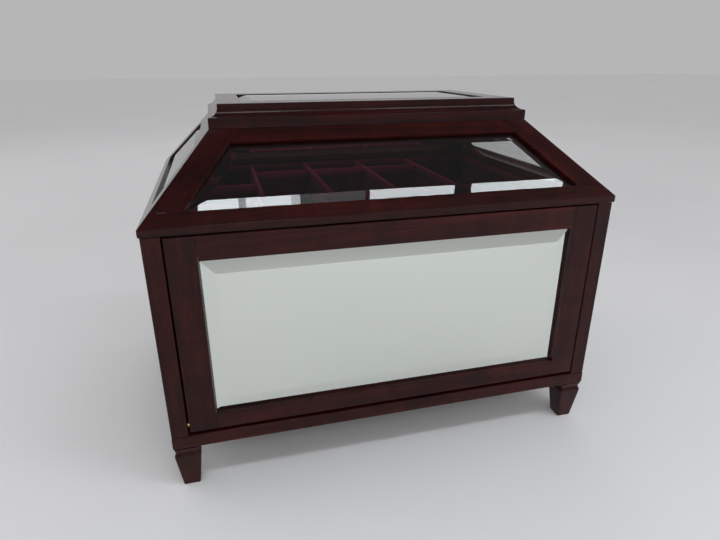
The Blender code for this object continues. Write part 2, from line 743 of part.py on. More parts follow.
def make_hips(wood, axis):
    near, far = groove(GLASS_DROP)
    for name, sx, sy in CORNERS:
        y = LID_FRONT_Y if sy < 0 else LID_BACK_Y
        corner = Vector((sx * LID_X, y, RIM_Z))
        hip = Vector((-sx * END_RUN, -sy * FRONT_RUN, ROOF_RISE)).normalized()
        wings = []
        for outward, run in ((Vector((0, sy, 0)), FRONT_RUN), (Vector((sx, 0, 0)), END_RUN)):
            normal = (outward * ROOF_RISE + UP * run).normalized()
            wing = hip.cross(normal)
            towards = Vector((-sx, 0, 0)) if outward.x == 0 else Vector((0, -sy, 0))
            if wing.dot(towards) < 0:
                wing = -wing
            wings.append((normal, wing))
        (first, reach), (second, other_reach) = wings
        inner = corner - (first + second) * (ROOF_THICKNESS / (1 + first.dot(second)))
        halves = []
        for normal, wing in wings:
            tip = corner + wing * HIP
            halves.append([tip, tip - normal * near, tip - normal * near - wing * GROOVE_DEPTH,
                           tip - normal * far - wing * GROOVE_DEPTH, tip - normal * far,
                           tip - normal * ROOF_THICKNESS])
        corners = [(corner, HIP_EDGE)]
        corners += [(p, 0) for p in halves[0]]
        corners.append((inner, 0))
        corners += [(p, 0) for p in reversed(halves[1])]
        low = (UP * (GLASS_LOW_Z + FIT), UP)
        high = (UP * SHOULDER_Z, UP)
        add("lid_hip_" + name, sweep(rounded(corners), hip, low, high), wood, axis)


def cap_opening():
    """Half sizes of the opening for the top pane."""
    inset = CAP_INSET + CAP_BORDER
    half_y = (LID_BACK_Y - LID_FRONT_Y) / 2
    return LID_X - END_RUN - inset, half_y - FRONT_RUN - inset


def make_cornice(wood, axis):
    half_y = (LID_BACK_Y - LID_FRONT_Y) / 2
    low = SHOULDER_Z + FIT
    cove_top = BAND_Z + COVE_RISE
    inner = CAP_INSET + CAP_BORDER
    near, far = groove(TOP_GLASS_DROP)
    cove = []
    for step in range(COVE_STEPS + 1):
        turn = pi / 2 * step / COVE_STEPS
        cove.append((COVE_RUN * sin(turn), cove_top - COVE_RISE * cos(turn)))
    corners = [(0, low), (0, BAND_Z, CORNICE_EDGE)] + cove[1:]
    corners += [(CAP_INSET, CAP_Z, CORNICE_EDGE), (inner, CAP_Z), (inner, CAP_Z - near),
                (inner - GROOVE_DEPTH, CAP_Z - near), (inner - GROOVE_DEPTH, CAP_Z - far),
                (inner, CAP_Z - far), (inner, low)]
    for name, side in rectangle_sides(LID_X - END_RUN, half_y - FRONT_RUN).items():
        add("cornice_" + name, mitred(side, corners, 1, 1), wood, axis, smooth=True)


def make_lid_glass(glass, axis):
    for name, side in lid_sides().items():
        middle, inward, along, half = side
        run, end_run = runs(name)
        length = slope_length(run)
        up_slope = (inward * run + UP * ROOF_RISE) / length
        outward = (UP * run - inward * ROOF_RISE) / length
        edge = middle + UP * RIM_Z
        low = (GLASS_LOW_Z - RIM_Z) * length / ROOF_RISE
        high = (GLASS_HIGH_Z - RIM_Z) * length / ROOF_RISE
        lean = end_run / length
        hip = HIP * Vector((1, lean)).length

        def sight(up):
            return half - lean * up - hip

        opening = [Vector((-sight(low), low)), Vector((sight(low), low)),
                   Vector((sight(high), high)), Vector((-sight(high), high))]
        pane = bevelled_pane(grown(opening, GLASS_IN_GROOVE), GLASS_BEVEL, GLASS, GLASS_EDGE,
                             lambda a, b, depth: edge + along * a + up_slope * b
                             - outward * (GLASS_DROP + depth))
        add("glass_" + name, pane, glass, axis)
    half_x, half_y = cap_opening()
    opening = [Vector((-half_x, -half_y)), Vector((half_x, -half_y)),
               Vector((half_x, half_y)), Vector((-half_x, half_y))]
    pane = bevelled_pane(grown(opening, GLASS_IN_GROOVE), GLASS_BEVEL, GLASS, GLASS_EDGE,
                         lambda a, b, depth: Vector((a, MIDDLE_Y + b, CAP_Z - TOP_GLASS_DROP - depth)))
    add("glass_top", pane, glass, axis)


# ---------------------------------------------------------------- hinges
def leaf_mortise(sign, low, high):
    half = HINGE_LENGTH / 2 + FIT
    middle = sign * HINGE_FROM_MIDDLE
    return box((middle - half, LID_BACK_Y - LEAF_WIDTH - FIT, low),
               (middle + half, LID_BACK_Y + LEAF_WIDTH, high))


def make_hinges(brass, axis):
    x = Vector((1, 0, 0))
    centre = Vector((0, HINGE_Y, HINGE_Z))
    third = HINGE_LENGTH / 3
    for name, sign in (("left", -1), ("right", 1)):
        middle = sign * HINGE_FROM_MIDDLE
        start = middle - HINGE_LENGTH / 2
        finish = middle + HINGE_LENGTH / 2
        inner_y = LID_BACK_Y - LEAF_WIDTH

        low, high = TOP_Z - LEAF_THICKNESS, TOP_Z
        case_leaf = add("hinge_case_leaf_" + name,
                        box((start, inner_y, low), (finish, LID_BACK_Y, high)), brass, smooth=True)
        for part, (x0, x1) in enumerate(((start, start + third - FIT), (finish - third + FIT, finish)), 1):
            web = box((x0, inner_y + LEAF_WIDTH / 2, low), (x1, HINGE_Y, high))
            boolean(case_leaf, web, "case_web_%s_%d" % (name, part), "UNION")
            knuckle = rod(centre, x, KNUCKLE_RADIUS, x0, x1)
            boolean(case_leaf, knuckle, "case_knuckle_%s_%d" % (name, part), "UNION")
        pin = rod(centre, x, HINGE_PIN_RADIUS, start + third / 2, finish - third / 2)
        boolean(case_leaf, pin, "hinge_pin_" + name, "UNION")

        low, high = LID_Z, LID_Z + LEAF_THICKNESS
        x0, x1 = start + third + FIT, finish - third - FIT
        lid_leaf = add("hinge_lid_leaf_" + name,
                       box((start, inner_y, low), (finish, LID_BACK_Y, high)), brass, axis, smooth=True)
        web = box((x0, inner_y + LEAF_WIDTH / 2, low), (x1, HINGE_Y, high))
        boolean(lid_leaf, web, "lid_web_" + name, "UNION")
        boolean(lid_leaf, rod(centre, x, KNUCKLE_RADIUS, x0, x1), "lid_knuckle_" + name, "UNION")
        bore = rod(centre, x, HINGE_PIN_RADIUS + FIT, x0 - third / 2, x1 + third / 2)
        boolean(lid_leaf, bore, "lid_bore_" + name, "DIFFERENCE")


CORNERS = (("front_left", -1, -1), ("front_right", 1, -1), ("back_left", -1, 1), ("back_right", 1, 1))


def main():
    for old in list(bpy.data.objects):
        bpy.data.objects.remove(old, do_unlink=True)
    finishes = make_materials()
    wood = finishes["mahogany"]
    velvet = finishes["velvet"]
    board = finishes["board"]
    brass = finishes["brass"]

    make_feet(wood)
    make_plinth(wood)
    posts = make_posts(wood)
    make_panels(wood, board)
    make_tray(wood, velvet)
    make_lower_lining(velvet)

    door_axis = axis_empty("drop_front_axis", (0, PIVOT_Y, PIVOT_Z))
    make_door(wood, finishes["silvered_glass"], board, brass, posts, door_axis)

    lid_axis = axis_empty("lid_hinge_axis", (0, HINGE_Y, HINGE_Z))
    make_lid_base(wood, lid_axis)
    make_hips(wood, lid_axis)
    make_top_rails(wood, lid_axis)
    make_cornice(wood, lid_axis)
    make_lid_glass(finishes["clear_glass"], lid_axis)
    make_hinges(brass, lid_axis)


main()
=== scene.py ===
import json
from math import cos, log, pi, radians, sin

import bmesh
import bpy
from mathutils import Matrix, Vector, noise


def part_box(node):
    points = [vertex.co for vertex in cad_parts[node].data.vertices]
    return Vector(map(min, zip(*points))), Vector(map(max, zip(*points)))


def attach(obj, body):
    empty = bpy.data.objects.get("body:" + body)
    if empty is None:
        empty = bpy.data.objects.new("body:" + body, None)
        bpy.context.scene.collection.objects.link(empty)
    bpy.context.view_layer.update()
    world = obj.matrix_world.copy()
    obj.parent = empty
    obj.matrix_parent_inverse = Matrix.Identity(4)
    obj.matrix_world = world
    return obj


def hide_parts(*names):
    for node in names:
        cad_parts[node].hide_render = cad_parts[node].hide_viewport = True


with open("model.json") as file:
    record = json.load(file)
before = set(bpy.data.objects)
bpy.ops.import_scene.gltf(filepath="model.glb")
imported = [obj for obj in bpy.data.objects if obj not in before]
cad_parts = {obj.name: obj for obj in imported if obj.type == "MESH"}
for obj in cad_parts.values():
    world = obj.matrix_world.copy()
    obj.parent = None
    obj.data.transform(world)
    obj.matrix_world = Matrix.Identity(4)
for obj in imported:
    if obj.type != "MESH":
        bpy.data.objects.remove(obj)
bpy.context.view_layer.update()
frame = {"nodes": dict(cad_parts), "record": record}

MM = 0.001
scene = bpy.context.scene
NODES = frame["nodes"]
X = Vector((1, 0, 0))
Y = Vector((0, 1, 0))
Z = Vector((0, 0, 1))


# ---------------------------------------------------------------- camera
CAMERA_AT = (-0.13894, -0.54521, 0.35039)
CAMERA_RIGHT = (0.96649, -0.2567, -0.00189)
CAMERA_UP = (0.0961, 0.35495, 0.92993)
CAMERA_BACK = (-0.23804, -0.89895, 0.36772)
CAMERA_LENS = 26.49


def make_camera():
    data = bpy.data.cameras.new("camera")
    data.sensor_width = 36
    data.lens = CAMERA_LENS
    data.clip_start = 0.01
    camera = bpy.data.objects.new("camera", data)
    turn = Matrix((CAMERA_RIGHT, CAMERA_UP, CAMERA_BACK)).transposed()
    camera.matrix_world = Matrix.Translation(CAMERA_AT) @ turn.to_quaternion().to_matrix().to_4x4()
    scene.collection.objects.link(camera)
    scene.camera = camera


# ---------------------------------------------------------------- node helpers
class Tree:
    """A material's node tree, with short ways to add what the materials here use."""

    def __init__(self, name):
        self.material = bpy.data.materials.new(name)
        self.material.use_nodes = True
        self.tree = self.material.node_tree
        self.shader = self.tree.nodes["Principled BSDF"]
        self.output = self.tree.nodes["Material Output"]

    def node(self, kind, inputs=(), **settings):
        made = self.tree.nodes.new(kind)
        for key, value in settings.items():
            setattr(made, key, value)
        for key, value in dict(inputs).items():
            self.put(made.inputs[key], value)
        return made

    def put(self, socket, value):
        if isinstance(value, bpy.types.NodeSocket):
            self.tree.links.new(value, socket)
        else:
            socket.default_value = value

    def set(self, **values):
        for key, value in values.items():
            self.put(self.shader.inputs[key.replace("_", " ")], value)

    def math(self, operation, a, b=0.0, c=0.0):
        return self.node("ShaderNodeMath", {0: a, 1: b, 2: c}, operation=operation).outputs[0]

    def place(self):
        return self.node("ShaderNodeTexCoord").outputs["Object"]

    def mapped(self, vector, location=(0, 0, 0), rotation=(0, 0, 0), scale=(1, 1, 1)):
        return self.node("ShaderNodeMapping", {"Vector": vector, "Location": location,
                                               "Rotation": rotation, "Scale": scale}).outputs[0]

    def noise(self, vector, scale, detail=2.0, roughness=0.5, distortion=0.0):
        return self.node("ShaderNodeTexNoise", {
            "Vector": vector, "Scale": scale, "Detail": detail,
            "Roughness": roughness, "Distortion": distortion}).outputs["Fac"]

    def spread(self, value, low, high, to_low=0.0, to_high=1.0):
        return self.node("ShaderNodeMapRange", {
            "Value": value, "From Min": low, "From Max": high,
            "To Min": to_low, "To Max": to_high}).outputs[0]

    def ramp(self, value, *stops):
        made = self.node("ShaderNodeValToRGB", {"Fac": value})
        elements = made.color_ramp.elements
        while len(elements) < len(stops):
            elements.new(0.5)
        for element, (at, colour) in zip(elements, stops):
            element.position = at
            element.color = (*colour, 1)
        return made.outputs[0]

    def mix(self, share, a, b, kind="MIX"):
        made = self.node("ShaderNodeMix", data_type="RGBA", blend_type=kind)
        colours = [s for s in made.inputs if s.type == "RGBA"]
        self.put(made.inputs[0], share)
        for socket, value in zip(colours, (a, b)):
            self.put(socket, (*value, 1) if isinstance(value, tuple) else value)
        return [s for s in made.outputs if s.type == "RGBA"][0]

    def bump(self, height, strength, distance):
        return self.node("ShaderNodeBump", {"Height": height, "Strength": strength,
                                            "Distance": distance}).outputs[0]


# ---------------------------------------------------------------- materials
def mahogany(name, along, number):
    """Dark red stained wood under satin lacquer, with its grain along one direction."""
    t = Tree(name)
    turn = Vector(along).rotation_difference(X).to_euler()
    shift = (0.37 * number, 0.73 * number, 0.19 * number)
    grain = t.mapped(t.place(), shift, turn)
    bands = t.noise(t.mapped(grain, scale=(5, 75, 75)), 1, 3, 0.55, 0.6)
    streaks = t.noise(t.mapped(grain, scale=(22, 720, 720)), 1, 3, 0.6, 0.2)
    figure = t.noise(t.mapped(grain, scale=(46, 18, 18)), 1, 2, 0.5, 0.8)
    pores = t.noise(t.mapped(grain, scale=(150, 2300, 2300)), 1, 1, 0.5)
    tone = t.math("MULTIPLY_ADD", bands, 0.5, t.math("MULTIPLY", streaks, 0.32))
    tone = t.math("MULTIPLY_ADD", figure, 0.26, tone)
    tone = t.math("ADD", tone, 0.02 * ((number * 7) % 5 - 2))
    colour = t.ramp(tone, (0.36, WOOD_DARK), (0.54, WOOD_MID), (0.74, WOOD_LIGHT))
    pore = t.spread(pores, 0.60, 0.70)
    colour = t.mix(t.math("MULTIPLY", pore, 0.55), colour, WOOD_PORE)
    edge = edge_mask(t, 1.0 * MM)
    rubbed = t.math("MULTIPLY", edge, t.spread(t.noise(t.place(), 60, 4, 0.65), 0.40, 0.75, 0.04, 0.38))
    colour = t.mix(rubbed, colour, WOOD_WORN)
    haze = t.noise(t.place(), 34, 4, 0.6)
    roughness = t.math("MULTIPLY_ADD", haze, 0.16, t.math("MULTIPLY_ADD", streaks, 0.10, 0.24))
    relief = t.math("MULTIPLY_ADD", pore, -0.6, t.math("MULTIPLY", streaks, 0.4))
    t.set(Base_Color=colour, Roughness=roughness, Normal=t.bump(relief, 0.12, 0.15 * MM),
          Specular_IOR_Level=0.05, Coat_Weight=1.0, Coat_IOR=1.235, Coat_Roughness=0.17,
          Coat_Normal=t.bump(t.noise(t.place(), 420, 2), 0.05, 0.1 * MM))
    return t.material


def edge_mask(t, radius):
    """One on outer edges narrower than radius, zero on flats."""
    rounded = t.node("ShaderNodeBevel", {"Radius": radius}, samples=4).outputs[0]
    flat = t.node("ShaderNodeNewGeometry").outputs["True Normal"]
    facing = t.node("ShaderNodeVectorMath", {0: rounded, 1: flat}, operation="DOT_PRODUCT")
    return t.spread(facing.outputs["Value"], 0.985, 0.86)


WOOD_DARK = (0.0080, 0.0018, 0.0018)
WOOD_MID = (0.0225, 0.0032, 0.0028)
WOOD_LIGHT = (0.0510, 0.0066, 0.0048)
WOOD_PORE = (0.0045, 0.0016, 0.0016)
WOOD_WORN = (0.085, 0.034, 0.026)


def clear_glass():
    t = Tree("clear_glass")
    film = t.noise(t.place(), 9, 3, 0.5)
    t.set(Base_Color=t.mix(film, (0.975, 0.992, 0.984), (0.955, 0.982, 0.970)), Roughness=0.0,
          IOR=1.5, Transmission_Weight=1.0,
          Normal=t.bump(t.noise(t.place(), 14, 1), 0.02, 0.2 * MM))
    through = t.node("ShaderNodeBsdfTransparent", {"Color": (0.90, 0.95, 0.93, 1)})
    shadow = t.node("ShaderNodeLightPath").outputs["Is Shadow Ray"]
    mixed = t.node("ShaderNodeMixShader", {0: shadow, 1: t.shader.outputs[0], 2: through.outputs[0]})
    t.tree.links.new(mixed.outputs[0], t.output.inputs["Surface"])
    return t.material


def silvered():
    t = Tree("mirror")
    smudge = t.spread(t.noise(t.place(), 22, 5, 0.6, 0.5), 0.52, 0.72)
    colour = t.mix(t.noise(t.place(), 6, 2), (0.715, 0.755, 0.705), (0.740, 0.775, 0.730))
    t.set(Base_Color=colour, Metallic=1.0, Coat_Weight=0.5, Coat_Roughness=0.0,
          Roughness=t.math("MULTIPLY_ADD", smudge, 0.035, 0.008))
    return t.material


def brass(name="brass"):
    t = Tree(name)
    tarnish = t.spread(t.noise(t.place(), 160, 5, 0.6, 0.4), 0.42, 0.68)
    scratch = t.noise(t.mapped(t.place(), scale=(2600, 260, 2600)), 1, 2)
    t.set(Base_Color=t.mix(tarnish, (0.84, 0.60, 0.26), (0.52, 0.33, 0.13)), Metallic=1.0,
          Roughness=t.math("MULTIPLY_ADD", tarnish, 0.16, t.math("MULTIPLY_ADD", scratch, 0.12, 0.16)),
          Normal=t.bump(scratch, 0.08, 0.05 * MM))
    return t.material


def velvet(name, top=None):
    """Crimson pile, with painted light: with top given, a painted highlight makes it brightest there and
    painted shade makes it darker further down; without it, the painted lit and shaded tones are blended in a
    fixed share.
    """
    t = Tree(name)
    brushed = t.noise(t.place(), 38, 4, 0.6, 1.2)
    tufts = t.noise(t.place(), 1500, 2, 0.7)
    pile = t.node("ShaderNodeTexVoronoi", {"Vector": t.place(), "Scale": 1900}).outputs["Distance"]
    tone = t.math("MULTIPLY_ADD", brushed, 0.6, t.math("MULTIPLY", tufts, 0.4))
    colour = t.ramp(tone, (0.30, (0.024, 0.0010, 0.0052)), (0.52, (0.056, 0.0022, 0.0125)),
                    (0.74, (0.110, 0.0050, 0.0260)))
    # share of the painted highlight tone against the painted shade tone: fixed without top, by height with
    # it
    share = 0.3
    if top is not None:
        level = t.node("ShaderNodeSeparateXYZ", {0: t.place()}).outputs["Z"]
        share = t.spread(level, top - 9 * MM, top - 1 * MM)
    # painted shade: a darkened copy of the pile colour; painted highlight: a lightened copy, mixed in by
    # share
    painted_shade_tone = t.mix(0.55, colour, (0.004, 0.0006, 0.0012))
    colour = t.mix(share, painted_shade_tone, t.mix(0.35, colour, (0.210, 0.008, 0.045)))
    height = t.math("MULTIPLY_ADD", pile, -0.5, tufts)
    t.set(Base_Color=colour, Roughness=0.92, Specular_IOR_Level=0.1, Sheen_Weight=0.12,
          Sheen_Roughness=0.38, Sheen_Tint=(0.72, 0.10, 0.24, 1),
          Normal=t.bump(height, 0.55, 0.35 * MM))
    return t.material


def board():
    t = Tree("backing_board")
    fibres = t.noise(t.mapped(t.place(), scale=(420, 900, 420)), 1, 4, 0.7, 1.5)
    flecks = t.node("ShaderNodeTexVoronoi", {"Vector": t.place(), "Scale": 700}).outputs["Distance"]
    tone = t.math("MULTIPLY_ADD", fibres, 0.75, t.math("MULTIPLY", flecks, 0.35))
    t.set(Base_Color=t.ramp(tone, (0.30, (0.045, 0.022, 0.013)), (0.70, (0.150, 0.080, 0.048))),
          Roughness=t.math("MULTIPLY_ADD", fibres, 0.25, 0.6),
          Normal=t.bump(fibres, 0.35, 0.2 * MM))
    return t.material


def paper(name, light, dark, near, far):
    """Matt paper, cloudy between two colours, with painted light and shade from near to far:
    darkest in the middle distance and lightest far out, so that it meets the backdrop without a line."""
    t = Tree(name)
    cloud = t.noise(t.place(), 2.2, 3, 0.5)
    tooth = t.noise(t.place(), 900, 2)
    distance = t.node("ShaderNodeVectorMath", {0: t.place()}, operation="LENGTH").outputs["Value"]
    fade = t.math("LOGARITHM", t.math("MAXIMUM", distance, near), far)
    start = log(near) / log(far)
    colour = t.mix(cloud, light, dark)
    # painted light and shade: the floor is darkened in the middle distance and lightened far out, to even
    # out how the lamps fall on it
    painted_light_tones = ((0.0, 0.84), (0.40, 0.79), (0.62, 0.87), (0.78, 0.96), (0.92, 1.0))
    painted_light_tone = t.ramp(t.spread(fade, start, 1.0), *((at, (tone, tone, tone)) for at, tone in painted_light_tones))
    colour = t.mix(1.0, colour, painted_light_tone, "MULTIPLY")
    t.set(Base_Color=colour, Roughness=0.62, Specular_IOR_Level=0.35,
          Normal=t.bump(tooth, 0.08, 0.2 * MM))
    return t.material


# ---------------------------------------------------------------- CAD nodes
def smooth_group():
    """Geometry nodes that join a node's faces at their edges and shade small angles smooth."""
    group = bpy.data.node_groups.new("joined_and_smooth", "GeometryNodeTree")
    group.interface.new_socket("Geometry", in_out="INPUT", socket_type="NodeSocketGeometry")
    group.interface.new_socket("Geometry", in_out="OUTPUT", socket_type="NodeSocketGeometry")
    new = group.nodes.new
    start, end = new("NodeGroupInput"), new("NodeGroupOutput")
    plain = new("GeometryNodeRemoveAttribute")
    plain.inputs["Name"].default_value = "custom_normal"
    merge = new("GeometryNodeMergeByDistance")
    merge.inputs["Distance"].default_value = 0.01 * MM
    faces = new("GeometryNodeSetShadeSmooth")
    faces.domain = "FACE"
    angle = new("GeometryNodeInputMeshEdgeAngle")
    small = new("FunctionNodeCompare")
    small.data_type = "FLOAT"
    small.operation = "LESS_THAN"
    small.inputs["B"].default_value = radians(38)
    edges = new("GeometryNodeSetShadeSmooth")
    edges.domain = "EDGE"
    link = group.links.new
    link(start.outputs[0], plain.inputs["Geometry"])
    link(plain.outputs[0], merge.inputs["Geometry"])
    link(merge.outputs[0], faces.inputs["Geometry"])
    link(faces.outputs[0], edges.inputs["Geometry"])
    link(angle.outputs["Unsigned Angle"], small.inputs["A"])
    link(small.outputs[0], edges.inputs["Shade Smooth"])
    link(edges.outputs[0], end.inputs[0])
    return group


def smooth(obj, group):
    modifier = obj.modifiers.new("joined_and_smooth", "NODES")
    modifier.node_group = group
    weighted = obj.modifiers.new("weighted_normals", "WEIGHTED_NORMAL")
    weighted.keep_sharp = True
    weighted.weight = 100


def hip_direction(name):
    low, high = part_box(name)
    return Vector(((high.x - low.x) * (1 if "left" in name else -1),
                   (high.y - low.y) * (1 if "front" in name else -1), high.z - low.z))


def grain_of(name):
    if name.startswith("lid_hip"):
        return hip_direction(name)
    if name.startswith(("post", "door_stile", "foot")):
        return Z
    if name.startswith("side_panel") or name.endswith(("_left", "_right")):
        return Y
    return X


def dress_nodes():
    group = smooth_group()
    shared = {"clear_glass": clear_glass(), "mirror": silvered(), "brass": brass(), "backing_board": board()}
    slots = {m["slot"] for m in frame["record"]["materials"]}
    for number, (name, node) in enumerate(sorted(NODES.items())):
        slot = node.data.materials[0].name.split(".")[0]
        assert slot in slots
        if slot == "mahogany":
            made = mahogany("mahogany_" + name, grain_of(name), number)
        else:
            made = shared.get(slot)
        if made:
            node.material_slots[0].link = "OBJECT"
            node.material_slots[0].material = made
        if slot in ("mahogany", "brass"):
            smooth(node, group)


# ---------------------------------------------------------------- velvet
WALL = 1.6 * MM               # velvet over card on the walls
PAD = 3.0 * MM                # of a floor pad at its edge
TUCK = 0.25 * MM              # between velvet pieces that touch
PAD_CELL = 3.2 * MM           # of a pad's mesh
CROWN = 1.5 * MM              # most that a pad swells above its edge
DIVIDER_ROUND = 1.7 * MM
SLACK = 0.12 * MM             # unevenness of velvet over card


def new_piece(name, bm, body, material):
    bmesh.ops.recalc_face_normals(bm, faces=bm.faces)
    mesh = bpy.data.meshes.new(name)
    bm.to_mesh(mesh)
    bm.free()
    mesh.materials.append(material)
    mesh.shade_smooth()
    piece = bpy.data.objects.new(name, mesh)
    scene.collection.objects.link(piece)
    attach(piece, body)
    return piece


def close_rings(bm, rings):
    """Skin over loops of points, with both ends closed."""
    loops = [[bm.verts.new(p) for p in ring] for ring in rings]
    count = len(loops[0])
    for a, b in zip(loops, loops[1:]):
        for i in range(count):
            j = (i + 1) % count
            bm.faces.new((a[i], a[j], b[j], b[i]))
    bm.faces.new(loops[0][::-1])
    bm.faces.new(loops[-1])


def wrapped_board(name, low, high, body, material, edge):
    """Card wrapped in velvet: a thin upright board, rounded over along its top, a little uneven."""
    size = high - low
    thin = 0 if size.x < size.y else 1
    across, run = (X, Y) if thin == 0 else (Y, X)
    middle = (low + high) / 2
    half, tall, long = size[thin] / 2, size.z / 2, size[1 - thin] / 2
    edge = min(edge, half * 0.98)
    profile = [(-half, -tall)]
    steps = max(2, round(2 * tall / (6 * MM)))
    profile += [(-half, -tall + (2 * tall - edge) * i / steps) for i in range(1, steps + 1)]
    for i in range(1, 8):
        turn = pi * i / 8
        centre = edge - half if turn < pi / 2 else half - edge
        profile.append((centre - edge * cos(turn), tall - edge + edge * sin(turn)))
    profile += [(half, -tall + (2 * tall - edge) * i / steps) for i in range(steps, 0, -1)]
    profile.append((half, -tall))
    stations = max(4, round(2 * long / (7 * MM)))
    bm = bmesh.new()
    rings = []
    for s in range(stations + 1):
        at = -long + 2 * long * s / stations
        ring = []
        for a, h in profile:
            p = middle + across * a + Z * h + run * at
            give = SLACK * noise.noise(p * 55) * (1 if 0 < s < stations else 0)
            inward = -1 if a > 0 else 1
            ring.append(p + across * (inward * abs(give)))
        rings.append(ring)
    close_rings(bm, rings)
    return new_piece(name, bm, body, material)


def swell(across, reach):
    """How full a pad is at a distance from its edge."""
    return 1 - (1 - min(1.0, across / reach)) ** 2.6


def floor_pad(name, low, high, body, material, cell, crown):
    """Stuffed pad: flat underneath, with sides that round into a crowned top."""
    nx = max(6, round((high.x - low.x) / cell))
    ny = max(6, round((high.y - low.y) / cell))
    bm = bmesh.new()
    width, depth, tall = high - low
    grid = []
    for j in range(ny + 1):
        row = []
        for i in range(nx + 1):
            x, y = low.x + width * i / nx, low.y + depth * j / ny
            from_edge = min(x - low.x, high.x - x, y - low.y, high.y - y)
            full = swell(from_edge, 9 * MM)
            dimple = 0.35 * MM * noise.noise(Vector((x, y, 0)) * 42) * full
            row.append(bm.verts.new((x, y, high.z - 0.8 * MM * (1 - full) + 0.35 * crown * full + dimple)))
        grid.append(row)
    for j in range(ny):
        for i in range(nx):
            bm.faces.new((grid[j][i], grid[j][i + 1], grid[j + 1][i + 1], grid[j + 1][i]))
    rim = (grid[0][:-1] + [row[-1] for row in grid[:-1]] + grid[-1][:0:-1] + [row[0] for row in grid[:0:-1]])
    middle = (low + high) / 2
    lower = []
    for drop, pull in ((0.45, 0.25 * MM), (1.0, 0.5 * MM)):
        loop = []
        for v in rim:
            z = v.co.z + (low.z - v.co.z) * drop
            towards = Vector((middle.x - v.co.x, middle.y - v.co.y, 0)).normalized() * pull
            loop.append(bm.verts.new(Vector((v.co.x, v.co.y, z)) + towards))
        lower.append(loop)
    for a, b in zip([rim] + lower, lower):
        for i in range(len(rim)):
            j = (i + 1) % len(rim)
            bm.faces.new((a[j], a[i], b[i], b[j]))
    bm.faces.new(lower[-1])
    pad = new_piece(name, bm, body, material)
    stuff(pad, low, high, crown)
    return pad


def stuff(pad, low, high, crown):
    """Swells the pad's free top with air pressure, and keeps it within its own cell."""
    mesh = pad.data
    rest = [v.co.copy() for v in mesh.vertices]
    held = pad.vertex_groups.new(name="held")
    held.add([i for i, p in enumerate(rest) if p.z < high.z - 0.55 * MM], 1.0, "REPLACE")
    cloth = pad.modifiers.new("cloth", "CLOTH")
    settings = cloth.settings
    settings.quality = 4
    settings.mass = 0.12
    settings.use_pressure = True
    settings.uniform_pressure_force = 4
    settings.effector_weights.gravity = 0
    settings.vertex_group_mass = "held"
    settings.shrink_min = -0.012
    cloth.point_cache.frame_end = 20
    for frame_number in range(1, 21):
        scene.frame_set(frame_number)
    posed = pad.evaluated_get(bpy.context.evaluated_depsgraph_get())
    swollen = [v.co.copy() for v in posed.data.vertices]
    pad.modifiers.remove(cloth)
    pad.vertex_groups.clear()
    for vertex, before, after in zip(mesh.vertices, rest, swollen):
        move = after - before
        if move.length > crown:
            move *= crown / move.length
        place = before + move
        place.x = min(max(place.x, low.x), high.x)
        place.y = min(max(place.y, low.y), high.y)
        place.z = max(place.z, low.z)
        vertex.co = place
    mesh.update()
    scene.frame_set(1)


def line_tray(cloth):
    low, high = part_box("tray_lining")
    across, back = high.x, high.y
    walls = {
        "front": ((-across, low.y, low.z), (across, low.y + WALL, high.z)),
        "back": ((-across, back - WALL, low.z), (across, back, high.z)),
        "left": ((-across, low.y + WALL + TUCK, low.z), (WALL - across, back - WALL - TUCK, high.z)),
        "right": ((across - WALL, low.y + WALL + TUCK, low.z), (across, back - WALL - TUCK, high.z)),
    }
    for side, (a, b) in walls.items():
        wall = wrapped_board("velvet_wall_" + side, Vector(a), Vector(b), "case", cloth, 0.75 * MM)
        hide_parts("tray_lining")
    front_y, back_y = low.y + WALL + TUCK, back - WALL - TUCK
    left_x, right_x = WALL + TUCK - across, across - WALL - TUCK
    edges = []
    for number in range(1, 5):
        a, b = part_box(f"tray_divider_{number}")
        divider = wrapped_board(f"velvet_divider_{number}", Vector((a.x, front_y, low.z)),
                                Vector((b.x, back_y, b.z)), "case", cloth, DIVIDER_ROUND)
        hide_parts(f"tray_divider_{number}")
        edges.append((a.x - TUCK, b.x + TUCK))
    columns = list(zip([left_x] + [e[1] for e in edges], [e[0] for e in edges] + [right_x]))
    long_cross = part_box("tray_cross_divider_long")
    short_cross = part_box("tray_cross_divider_short")
    crosses = {0: short_cross, 1: long_cross, 2: long_cross, 3: long_cross}
    for number, (x0, x1) in enumerate(columns):
        rows = [(front_y, back_y)]
        if number in crosses:
            a, b = crosses[number]
            cross = wrapped_board(f"velvet_cross_{number + 1}", Vector((x0, a.y, low.z)),
                                  Vector((x1, b.y, b.z)), "case", cloth, DIVIDER_ROUND)
            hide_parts("tray_cross_divider_short" if number == 0 else "tray_cross_divider_long")
            rows = [(front_y, a.y - TUCK), (b.y + TUCK, back_y)]
        for row, (y0, y1) in enumerate(rows):
            pad = floor_pad(f"velvet_pad_{number + 1}_{row + 1}", Vector((x0, y0, low.z)),
                            Vector((x1, y1, low.z + PAD)), "case", cloth, PAD_CELL, CROWN)
            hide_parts("tray_lining")


def line_lower(cloth):
    low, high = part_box("lower_lining")
    top = high.z
    back = wrapped_board("velvet_lower_back", Vector((low.x, high.y - WALL, low.z)),
                         Vector((high.x, high.y, top)), "case", cloth, 0.75 * MM)
    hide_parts("lower_lining")
    for side, x in (("left", low.x), ("right", high.x - WALL)):
        wall = wrapped_board("velvet_lower_" + side, Vector((x, low.y, low.z)),
                             Vector((x + WALL, high.y - WALL - TUCK, top)), "case", cloth, 0.75 * MM)
        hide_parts("lower_lining")
    pad = floor_pad("velvet_lower_pad", Vector((low.x + WALL + TUCK, low.y + TUCK, low.z)),
                    Vector((high.x - WALL - TUCK, high.y - WALL - TUCK, low.z + PAD)), "case", cloth,
                    5.5 * MM, 2.2 * MM)
    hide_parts("lower_lining")


# ---------------------------------------------------------------- small brass fittings
SCREW = 2.1 * MM              # radius of a hinge screw's head
SLOT = 0.28 * MM              # half the width of its slot


